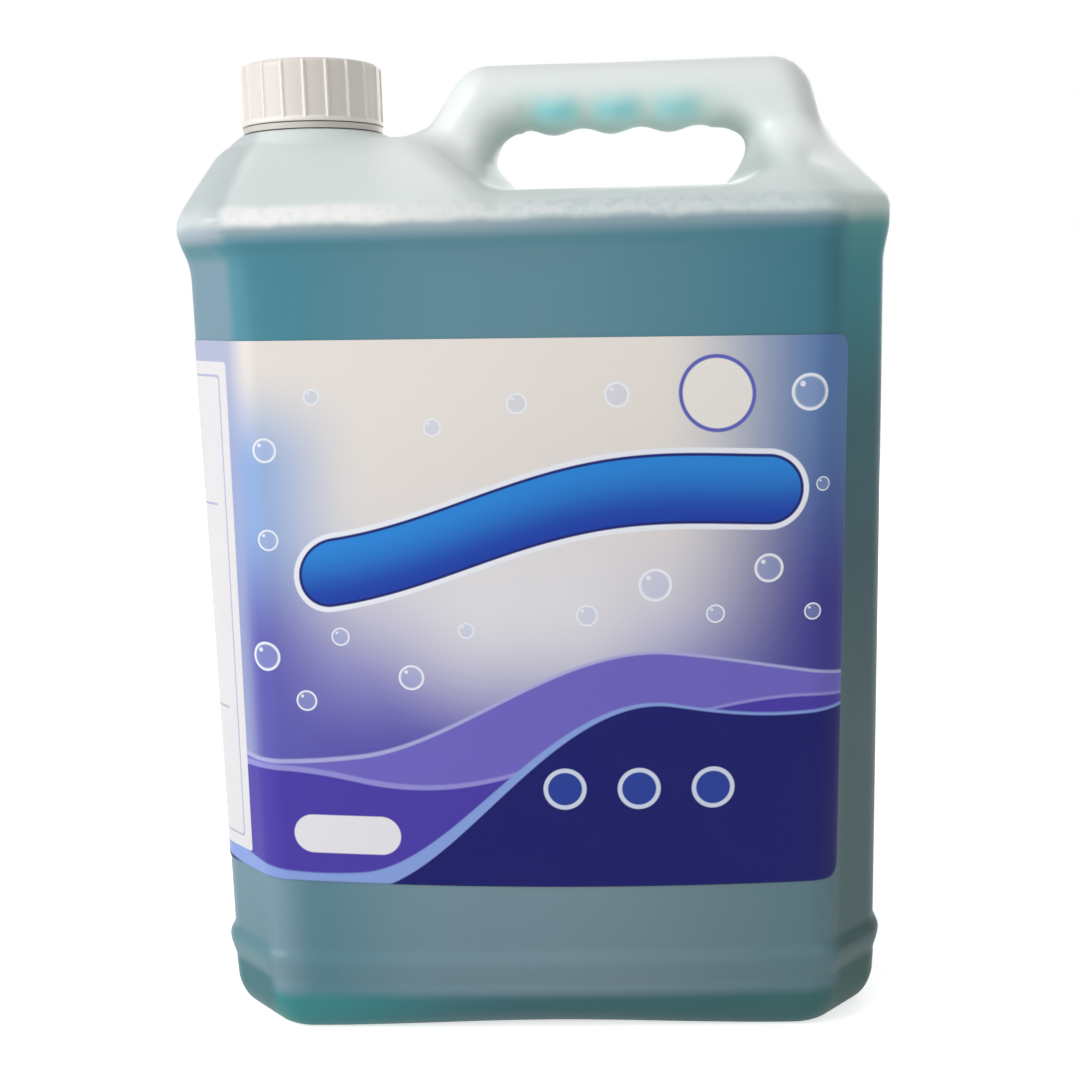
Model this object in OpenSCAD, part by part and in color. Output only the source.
// Laundry detergent bottle: a blown five litre bottle with a hollow handle, a screw cap,
// its wad, the torn-off safety ring, the wrap label and the liquid inside.
// X is the width, Y the depth with the front at -Y, Z is up from the floor, in millimetres.

/* [Body] */
// Width over the base bead and the shoulder
body_w = 190; // [184:1:200]
// Depth over the flat corners of the base bead and the shoulder
body_d = 129; // [124:1:140]
// How far the label panel lies behind the beads
recess = 1.3; // [0.8:0.1:2]
// Size of the flat cut off each upright corner
chamfer = 17; // [14:0.5:20]
// Size of that flat where it runs up the roof beside the neck
roof_cut = 11.5; // [10:0.5:14]
// Radius that softens each edge of that flat
edge_r = 9; // [6:0.5:12]
// How far the front and back panels swell in the middle
crown = 5; // [2:0.5:7]
// Wall of the blown shell
wall = 1.2; // [0.9:0.1:1.6]

/* [Base] */
// Radius of the bottom edge
base_r = 12; // [9:0.5:14]
// Height of the bead round the base
bead_z = 22.7; // [20:0.5:26]
// Width of the flat ring that the bottle stands on
stand_w = 4; // [3:0.5:6]
// Rise of the hollow underside
push_up = 3; // [2:0.5:5]

/* [Shoulder and roof] */
// Height of the widest part of the shoulder
shoulder_z = 223.5; // [220:0.5:226]
// Height over the shoulder where the roof's rim starts to climb
roof_rise = 7.5; // [6.5:0.25:8.5]
// Height of the deck beside the neck over the shoulder
deck_rise = 27.9; // [25.5:0.2:29.5]
// Height over the deck where the roof has shrunk to the handle's thickness
waist_rise = 3.6; // [2.6:0.2:6.6]

/* [Handle] */
// Height of the grip over the hand hole
grip_h = 19.6; // [16:0.2:23]
// Half of the handle's thickness
handle_y = 12.5; // [11:0.5:15]
// Distance from the collar to the handle's left foot
foot_gap = 6.5; // [5:0.25:9]
// Width of the handle's left foot at the deck
foot_w = 23.5; // [20:0.5:27]
// Width of the handle's right arm, from the hand hole to the side of the body
arm_w = 31.6; // [28:0.2:36]
// Radius of the fillets where the handle's feet stand on the roof
foot_r = 10; // [6:0.5:13]
// Height of the hand hole's floor over the shoulder
hole_rise = 11.5; // [10.5:0.25:13.5]
// Height of the hand hole
hole_h = 17.6; // [15:0.2:21]
// Depth of the finger scallops
scallop = 1.8; // [0:0.2:2.4]
// Distance from one finger rib to the next
scallop_pitch = 17; // [15:0.5:19]

/* [Neck and cap] */
// Distance from the body's left side to the round collar under the cap
collar_in = 4.3; // [3.5:0.1:7]
// How far the collar stands out round the cap
collar_out = 4.2; // [3:0.1:5]
// Outer radius of the neck under its thread
neck_r = 17; // [16.5:0.1:17.4]
// Wall of the neck
neck_wall = 1.6; // [1.3:0.1:2]
// Height of the neck's rim over the deck
neck_h = 18.6; // [17:0.2:22]
// Height that the thread stands out
thread_h = 1.15; // [0.9:0.05:1.3]
// Rise of the thread in one turn
pitch = 4.23; // [4:0.01:4.5]
// Wall of the cap between its ribs
cap_wall = 1.8; // [1.5:0.1:2.4]
// Thickness of the cap's top
cap_top = 1.5; // [1.2:0.1:2]
// Thickness of the sealing wad
wad_t = 1; // [0.8:0.1:1.4]
// Number of ribs round the cap
rib_n = 20; // [16:1:24]
// How far the ribs and the rim stand out
rib_h = 0.45; // [0.3:0.05:0.6]
// Height of the safety ring
ring_h = 1.6; // [1.2:0.1:1.8]
// Gap between pieces that move past each other
gap = 0.35; // [0.3:0.05:0.45]

/* [Liquid] */
// Height of the liquid's surface over the shoulder
fill_rise = 1.1; // [-20:0.1:3]
// Gap kept between the liquid and the wall
liquid_gap = 0.3; // [0.25:0.05:0.4]

/* [Label] */
// Distance from the base bead up to the label, at the middle of the front
label_low = 23.3; // [18:0.5:40]
// Distance from the shoulder down to the label, at the middle of the front
label_drop = 28.9; // [24:0.5:45]
// Slope of the label, which was stuck on a little askew
label_tilt = -0.78; // [-1:0.02:1]
// Thickness of the label
label_t = 0.15; // [0.12:0.01:0.25]

/* [Hidden] */
// Stations across the front panel between its two edges
FRONT = 13;
// Sections along the handle from its left foot to its right foot
GRIP = 60;
// Heights of the roof, the hand hole, the liquid and the label
side_x = body_w / 2;
side_y = body_d / 2 - chamfer;
roof_z = shoulder_z + roof_rise;
deck_z = shoulder_z + deck_rise;
waist_z = deck_z + waist_rise;
hole_z0 = shoulder_z + hole_rise;
hole_z1 = hole_z0 + hole_h;
handle_z = hole_z1 + grip_h;
fill_z = shoulder_z + fill_rise;
label_z0 = bead_z + label_low;
label_z1 = shoulder_z - label_drop;
base_top = base_r + 2;
// Depth that the fillets at the handle's feet reach below the ridge, into the falling roof
foot_sink = 1.8;
// Radii and heights shared by the neck, the cap, its wad and the safety ring
bore_r = neck_r - neck_wall;
thread_r = neck_r + thread_h;
cap_bore = thread_r + gap;
cap_r = cap_bore + cap_wall;
collar_r = cap_r + collar_out;
collar_z = deck_z + 0.6;
collar_top = collar_z + 1.6;
neck_z = deck_z + neck_h;
ring_z = collar_top + 0.3;
cap_z0 = ring_z + ring_h + 0.3;
cap_ceiling = neck_z + gap + wad_t + gap;
cap_z = cap_ceiling + cap_top;
cap_thread_z = cap_z0 + 1.1;
thread_z = cap_thread_z + pitch / 2;
// Places across the width: the neck stands in from the left side, and the handle starts clear of the collar
neck_x = -side_x + collar_in + collar_r;
foot_x = neck_x + collar_r + foot_gap;
hole_x0 = foot_x + foot_w;
hole_x1 = side_x - arm_w;
hole_x = (hole_x0 + hole_x1) / 2;

function mix(a, b, t) = a + (b - a) * t;
function clamp(t) = max(0, min(1, t));
function ease(t) = let (c = clamp(t)) c * c * (3 - 2 * c);
// A curve that leaves zero gently and ends as a straight line
function start(t, soft) = t <= 0 ? 0 : t * t / (t + soft);
// A hump of height 1 at c that dies out at a distance of w
function hump(z, c, w) = abs(z - c) >= w ? 0 : 0.5 + 0.5 * cos(180 * (z - c) / w);

// Outward step of the wall over the panel: the base bead, the band under it and the shoulder
function step(z) =
    z < bead_z ? recess * max(hump(z, bead_z, 9), 0.15)
  : z < shoulder_z - 20 ? recess * hump(z, bead_z, 4)
  : z < shoulder_z ? recess * hump(z, shoulder_z, 12)
  : recess;
// The panels swell from the base to the shoulder
function swell(z) = z > shoulder_z + 4 ? 0 : crown * min(ease(z / 48) * 0.75 + 0.25, ease((shoulder_z + 4 - z) / 60));

// Left and right ends of the outline above the shoulder
function left_x(z) = z < shoulder_z ? -(side_x - recess + step(z))
  : -side_x + 0.185 * start(z - shoulder_z, 3);
function right_x(z) = z < shoulder_z ? side_x - recess + step(z)
  : side_x - 0.62 * start(z - shoulder_z - 5, 1.5);

// Height of an oval of radius r at a distance d from its edge, as a share of its full height
function oval(d, r) = d >= r ? 1 : sqrt(max(0, 1 - pow(1 - max(0, d) / r, 2)));
// Ridge of the roof: the deck by the neck, a saddle under the hand hole, a low rise at the right foot
function ridge_z(x) = x < hole_x ? mix(deck_z, hole_z0, ease((x - foot_x + 2.8) / (foot_w + 7.5)))
  : mix(hole_z0, hole_z0 + 9, ease((x - hole_x1 + 7.4) / 24));
// Half the depth of the roof, whose slopes fall from the ridge to the shoulder
function roof_y(z) = mix(body_d / 2, 12, start((z - shoulder_z - 3) / (waist_z - shoulder_z - 3), 0.12));
function half_y(x, z) = swell(z) * max(0, 1 - pow(x / (side_x - chamfer), 2))
  + (z < shoulder_z ? body_d / 2 - recess + step(z) : roof_y(z));

// Three points that round a corner b between a and c over a length l
function soften(a, b, c, l) = let (
    p = b + (a - b) * l / norm(a - b), q = b + (c - b) * l / norm(c - b)
  ) [p, (p + 2 * b + q) / 4, q];

// Front half of a level cut, from the left side to the right, o inside the outer face
function front_cut(z, o) = let (
    l = edge_r * tan(22.5),
    x0 = left_x(z) + o, x1 = right_x(z) - o, c = chamfer - 0.4 * o,
    k = c - (chamfer - roof_cut) * ease((z - shoulder_z + 8) / 10),
    a = [x0, o + k - half_y(x0, z)], b = [x0 + k, o - half_y(x0 + k, z)],
    d = [x1 - c, o - half_y(x1 - c, z)], e = [x1, o + c - half_y(x1, z)],
    f0 = b[0] + l, f1 = d[0] - l
  ) concat(
    soften([x0, 0], a, b, l),
    soften(a, b, [f0, o - half_y(f0, z)], l),
    [for (i = [1 : FRONT - 1]) let (x = mix(f0, f1, i / FRONT)) [x, o - half_y(x, z)]],
    soften([f1, o - half_y(f1, z)], d, e, l),
    soften(d, e, [x1, 0], l));
// The whole level cut at height z, with its points lifted by up
function level(z, o, up) = let (h = front_cut(z, o)) concat(
    [[left_x(z) + o, 0, z + up]],
    [for (p = h) [p[0], p[1], z + up]],
    [[right_x(z) - o, 0, z + up]],
    [for (i = [len(h) - 1 : -1 : 0]) [h[i][0], -h[i][1], z + up]],
    [[left_x(z) + o, 0, z + up]]);
// A level cut drawn in all round by s towards the middle, as at the bottom edge
function drawn_in(z, o, s, at) = let (v = level(z, o, 0), kx = 1 - 2 * s / body_w, ky = 1 - 2 * s / body_d)
  [for (p = v) [p[0] * kx, p[1] * ky, at]];

// Cuts through the roof: each point of the rim climbs to the ridge above it, i of n
function roof_cut_row(i, n, o) = let (
    rim = level(roof_z, o, 0), low = o * 0.6
  ) [for (p = rim) let (
      top = ridge_z(p[0]) - o, z = mix(roof_z - low, top, sin(90 * i / n)), zo = z + low,
      x = p[0] + (p[0] < 0 ? left_x(zo) - left_x(roof_z) : right_x(zo) - right_x(roof_z)) * ease((abs(p[0]) - 40) / 40),
      y = (abs(p[1]) - roof_y(roof_z) + roof_y(zo)) * oval(top - z, min(6 - o, top - roof_z + low))
    ) [x, i == n || p[1] == 0 ? 0 : sign(p[1]) * max(0, y), z]];

// Heights of the cuts through the outer face, and through the inner one: the base, the panel, the shoulder, the rim
OUTER = concat([base_top], [for (h = [-5.2, -2.2, 0, 1.5, 3.3, 9.3]) bead_z + h],
    [for (k = [0, 0.22, 0.43, 0.64, 0.8, 0.92, 1]) mix(bead_z + 20, shoulder_z - 37, k)],
    [for (h = [-26.5, -19.5, -11.5, -7.5, -4.5, -2, 0, 2.5, 4.5]) shoulder_z + h], [roof_z - 1.4]);
INNER = concat([base_top, bead_z - 2.2, bead_z, bead_z + 3.3],
    [for (k = [0, 0.4, 0.78]) mix(bead_z + 23, shoulder_z - 29, k)],
    [for (h = [-29, -11.5, -4.5, 0, 3.5]) shoulder_z + h], [roof_z - 2]);
// The bottom: from the middle of the hollow underside out to the standing edge and up its rounding
function base_rows(o, fine) = let (r = base_r) concat(
    [for (k = [0, 0.45, 0.62]) [for (p = drawn_in(base_top, o, r, 0)) [p[0] * k, p[1] * k, push_up * (1 - k * k * 0.55) + o]]],
    [drawn_in(base_top, o, r + stand_w + 6, push_up * 0.45 + o), drawn_in(base_top, o, r + stand_w, o)],
    [for (a = [90 : fine ? -18 : -30 : 18]) drawn_in(base_top, o, r * (1 - cos(a)), r - r * sin(a) + o * sin(a))]);
// The blown body and roof, o inside the outer face
module body_skin(o, fine) {
    n = fine ? 9 : 6;
    skin([concat(base_rows(o, fine), [for (z = fine ? OUTER : INNER) level(z, o, 0)],
        [for (i = [0 : n]) roof_cut_row(i, n, o)])]);
}

// Places along a path of straight lines, by length
function leg(p, i) = norm(p[i + 1] - p[i]);
function travel(p, i = 0, s = 0) = i >= len(p) - 1 ? [s] : concat([s], travel(p, i + 1, s + leg(p, i)));
function spot(p, s, t, i = 0) = i >= len(p) - 2 || s <= t[i + 1]
  ? mix(p[i], p[i + 1], clamp((s - t[i]) / (t[i + 1] - t[i]))) : spot(p, s, t, i + 1);
function ramp(s, from, to, i = 0) = i >= len(from) - 2 || s <= from[i + 1]
  ? mix(to[i], to[i + 1], clamp((s - from[i]) / (from[i + 1] - from[i]))) : ramp(s, from, to, i + 1);
function arc_turn(a, b, c, r, n) = let (
    u = (a - b) / norm(a - b), v = (c - b) / norm(c - b), half = acos(u * v) / 2,
    l = r / tan(half), m = b + (u + v) / norm(u + v) * r / sin(half),
    p = b + u * l - m, q = b + v * l - m, turn = 180 - 2 * half, side = sign(p[0] * q[1] - p[1] * q[0])
  ) [for (i = [0 : n]) let (w = side * turn * i / n) m + [p[0] * cos(w) - p[1] * sin(w), p[0] * sin(w) + p[1] * cos(w)]];

// Outline of the handle, seen from the front, from its right foot over the top to its left foot
arm_low = [side_x - 3.8, roof_z + 5.4];
arm_mid = [side_x - 8.7, deck_z - 7];
grip_right = [side_x - 14.4, handle_z];
grip_left = [foot_x + 15.6, handle_z - 0.5];
foot_low = [foot_x, deck_z];
GRIP_OUT = concat(
    [[side_x - 9, roof_z - 2], arm_low],
    arc_turn(arm_low, arm_mid, grip_right, 34, 3),
    arc_turn(arm_mid, grip_right, grip_left, 13, 8),
    arc_turn(grip_right, grip_left, foot_low, 12, 6),
    arc_turn(grip_left, foot_low, [neck_x, deck_z], 8, 4),
    [[foot_x - 5.8, deck_z - 8], [foot_x - 0.8, roof_z - 2]]);

// Edge of the hand hole, the inner outline of the handle, from the right end of its floor round to the left end
function quarter(cx, cz, rx, rz, a) = [for (i = [0 : 6]) [cx + rx * cos(a + 15 * i), cz + rz * sin(a + 15 * i)]];
hole_mid = hole_z0 + 10;
grip_mid = hole_x - 3.4;
function underside(x) = hole_z1 - scallop / 2 * cos(360 * (x - grip_mid) / scallop_pitch)
  * ease((x - hole_x0 - 5) / 6) * ease((hole_x1 - 7 - x) / 6);
GRIP_IN = concat(
    [[hole_x1 - 13, hole_z0 - 3]],
    quarter(hole_x1 - 9.5, hole_mid - 2, 9.5, hole_mid - 2 - hole_z0, 270),
    quarter(hole_x1 - 10, hole_mid - 2, 10, hole_z1 - hole_mid + 2, 0),
    [for (i = [1 : 33]) let (x = mix(hole_x1 - 10, hole_x0 + 8, i / 34)) [x, underside(x)]],
    quarter(hole_x0 + 8, hole_mid, 8, hole_z1 - hole_mid, 90),
    quarter(hole_x0 + 10, hole_mid, 10, hole_mid - hole_z0, 180),
    [[hole_x0 + 14, hole_z0 - 3]]);

// Both paths set in by o along their own normals
function normal_at(p, i) = let (
    d = p[min(i + 1, len(p) - 1)] - p[max(i - 1, 0)]
  ) [-d[1], d[0]] / norm(d);
function resampled(p, marks) = let (t = travel(p), s = t[len(t) - 1]) [for (m = marks) spot(p, m * s, t)];

// Marks along both outlines that face each other: the ends, the feet, the corners and the grip
OUT_MARKS = [0, 0.045, 0.17, 0.255, 0.325, 0.725, 0.80, 0.915, 0.945, 1];
IN_MARKS = [0, 0.03, 0.125, 0.17, 0.225, 0.725, 0.79, 0.86, 0.915, 1];
// Half the thickness of the handle, which flares into a fillet where its feet reach the roof's ridge
function fillet(h, r) = h >= r ? 0 : r - sqrt(max(0, r * r - pow(r - max(0, h), 2)));
function grip_y(x, z) = handle_y + fillet(z - ridge_z(x) + foot_sink, foot_r);
// Point i of n across the rear of the handle, from the outer outline's point p to the inner one's q
function grip_point(p, q, i, n, o) = let (
    far = norm(q - p), s = (1 - cos(180 * i / n)) / 2, k = p + (q - p) * s, r = min(far / 2, (handle_z - hole_z1) / 2)
  ) [k[0], (grip_y(k[0], k[1]) - o) * oval(far * s, r) * oval(far * (1 - s), r), k[1]];
// The hollow handle, o inside its outer face, closed at both ends inside the roof
module grip_skin(o, n) {
    marks = [for (i = [0 : GRIP]) i / GRIP];
    out = resampled(GRIP_OUT, marks);
    inn = resampled(GRIP_IN, [for (m = marks) ramp(m, OUT_MARKS, IN_MARKS)]);
    loops = [for (j = [0 : GRIP]) let (
        p = out[j] + normal_at(out, j) * o, q = inn[j] - normal_at(inn, j) * o,
        rear = [for (i = [0 : n]) grip_point(p, q, i, n, o)]
      ) concat(rear, [for (i = [n - 1 : -1 : 0]) [rear[i][0], -rear[i][1], rear[i][2]]])];
    a = loops[0];
    b = loops[GRIP];
    skin([concat([[for (v = a) (a[0] + a[n]) / 2]], loops, [[for (v = b) (b[0] + b[n]) / 2]])]);
}

// A closed skin from patches, each a grid of points in rows of one length
function before(n, i) = i == 0 ? 0 : n[i - 1] + before(n, i - 1);
module skin(patches) {
    n = [for (p = patches) len(p) * len(p[0])];
    pts = [for (p = patches) for (row = p) for (q = row) q];
    faces = [for (k = [0 : len(patches) - 1])
        let (at = before(n, k), c = len(patches[k][0]))
        for (i = [0 : len(patches[k]) - 2], j = [0 : c - 2])
        let (a = at + i * c + j, b = a + 1, d = a + c, e = d + 1)
        each [[a, d, b], [b, d, e]]];
    polyhedron(points = pts, faces = [for (f = faces)
        if (norm(pts[f[0]] - pts[f[1]]) > 1e-4 && norm(pts[f[1]] - pts[f[2]]) > 1e-4
            && norm(pts[f[2]] - pts[f[0]]) > 1e-4) f]);
}

// The blown shape, o inside its outer face
module blown(o) {
    body_skin(o, o == 0);
    grip_skin(o, o == 0 ? 12 : 8);
}

// A thread ridge: a helix of trapeziums from height z0, sunk a little into its wall
module ridge(r0, r1, z0, turns, thick) {
    n = 40;
    steps = floor(n * turns);
    sunk = r1 > r0 ? -0.4 : 0.4;
    loop = [for (i = [0 : steps]) let (
        a = 360 * i / n, z = z0 + pitch * i / n,
        fade = min(1, 0.12 + min(i, steps - i) / 5),
        tip = mix(r0, r1, fade), foot_r = r0 + sunk, w = thick / 2
      ) [for (q = [[foot_r, -w], [foot_r, w], [tip, w * 0.55], [tip, -w * 0.55]])
          [q[0] * cos(a), q[0] * sin(a), z + q[1]]]];
    pts = [for (s = loop) for (q = s) q];
    out = r1 > r0;
    function way(f) = out ? f : [for (i = [len(f) - 1 : -1 : 0]) f[i]];
    polyhedron(points = pts, faces = concat(
        [way([0, 1, 2]), way([0, 2, 3])],
        [for (i = [0 : steps - 1], j = [0 : 3]) let (a = 4 * i + j, b = 4 * i + (j + 1) % 4)
            each [way([a, a + 4, b + 4]), way([a, b + 4, b])]],
        [way([4 * steps, 4 * steps + 2, 4 * steps + 1]), way([4 * steps, 4 * steps + 3, 4 * steps + 2])]));
}

module bottle() {
    color([0.82, 0.87, 0.87])
    difference() {
        union() {
            blown(0);
            translate([neck_x, 0, 0]) {
                rotate_extrude($fn = 96) polygon([
                    [0, deck_z - 16], [collar_r - 1, deck_z - 16], [collar_r, deck_z - 12], [collar_r, collar_z],
                    [cap_r + 0.5, collar_top], [neck_r, collar_top], [neck_r, neck_z - 0.6],
                    [neck_r - 0.6, neck_z], [0, neck_z]]);
                ridge(neck_r, thread_r, thread_z, 1.5, 1.7);
            }
        }
        blown(wall);
        translate([neck_x, 0, 0]) {
            rotate_extrude($fn = 96) polygon([
                [0, deck_z - 18], [collar_r - 1 - wall, deck_z - 18], [collar_r - wall, deck_z - 12],
                [collar_r - wall, collar_z - wall], [cap_r - wall, collar_top - wall], [0, collar_top - wall]]);
            translate([0, 0, collar_top - wall - 2]) cylinder(r = bore_r, h = neck_z - collar_top + wall + 4, $fn = 96);
        }
    }
}

module detergent() {
    color([0.25, 0.55, 0.62])
    let (o = wall + liquid_gap) skin([concat(
        base_rows(o, false), [for (z = INNER) if (z < fill_z - 0.6) level(z, o, 0)], [level(fill_z, o, 0)],
        [[for (p = level(fill_z, o, 0)) [0, 0, fill_z]]])]);
}

// The front half of the wall between two of its cuts
function wall_cut(z, o) = let (
    a = max([for (h = OUTER) if (h <= z) h]), b = min([for (h = OUTER) if (h > z) h])
  ) mix(front_cut(a, o), front_cut(b, o), (z - a) / (b - a));
// Path of the label round the bottle at height z: the left side, its corner, the front and past the bend
function label_path(z, o) = let (
    h = wall_cut(z, o), n = len(h), side = left_x(z) + o,
    past = h[n - 4] + (h[n - 3] - h[n - 4]) * 0.32
  ) concat([for (y = [side_y - 4, side_y / 2, 0, -side_y / 2]) [side, y]], [for (i = [0 : n - 4]) h[i]], [past]);
// A row of the label at height z, slanted by slope across the width
function label_row(z, slope, o) = let (rough = label_path(z, o)) [for (i = [0 : len(rough) - 1])
    let (at = z + rough[i][0] * slope, p = label_path(at, o)[i]) [p[0], p[1], at]];
function label_rows(o) = concat([label_row(label_z0, tan(label_tilt), o)],
    [for (h = OUTER) if (h > label_z0 + 2 && h < label_z1 - 2) label_row(h, 0, o)],
    [label_row(label_z1, tan(label_tilt), o)]);
module label() {
    color([0.55, 0.6, 0.85]) let (
        under = -0.12,
        rows = label_rows(under - label_t),
        back = label_rows(under),
        top = len(rows) - 1,
        n = len(rows[0]) - 1
    ) skin([rows, [for (i = [top : -1 : 0]) back[i]], [back[0], rows[0]], [rows[top], back[top]],
        [for (r = [0 : top]) [back[r][0], rows[r][0]]], [for (r = [0 : top]) [rows[r][n], back[r][n]]]]);
}

module safety_ring() {
    color([0.85, 0.83, 0.8])
    translate([neck_x, 0, 0]) rotate_extrude($fn = 96) polygon([
        [neck_r + gap, ring_z], [cap_r + 0.1, ring_z], [cap_r + 0.1, ring_z + ring_h],
        [cap_bore, ring_z + ring_h], [neck_r + gap, ring_z + 0.7]]);
}

module cap() {
    color([0.93, 0.91, 0.88])
    translate([neck_x, 0, 0]) {
        difference() {
            union() {
                rotate_extrude($fn = 96) polygon(concat(
                    [[0, cap_z0], [cap_r + rib_h, cap_z0], [cap_r + rib_h, cap_z0 + 1.6], [cap_r, cap_z0 + 2]],
                    [for (a = [0 : 22.5 : 90]) [cap_r - 2 + 2 * cos(a), cap_z - 2 + 2 * sin(a)]],
                    [[0, cap_z]]));
                for (i = [0 : rib_n - 1]) rotate([0, 0, 360 * (i + 0.28) / rib_n])
                    translate([cap_r - 0.6, -0.45, cap_z0 + 1.2]) cube([0.6 + rib_h, 0.9, cap_z - cap_z0 - 3]);
            }
            translate([0, 0, cap_z0 - 1]) cylinder(r = cap_bore, h = cap_ceiling - cap_z0 + 1, $fn = 96);
        }
        ridge(cap_bore, neck_r + gap, cap_thread_z, 1.3, 1.5);
    }
}

module cap_wad() {
    color([0.96, 0.96, 0.96])
    translate([neck_x, 0, neck_z + gap]) cylinder(r = cap_bore - gap, h = wad_t, $fn = 96);
}

bottle();
detergent();
label();
safety_ring();
cap();
cap_wad();
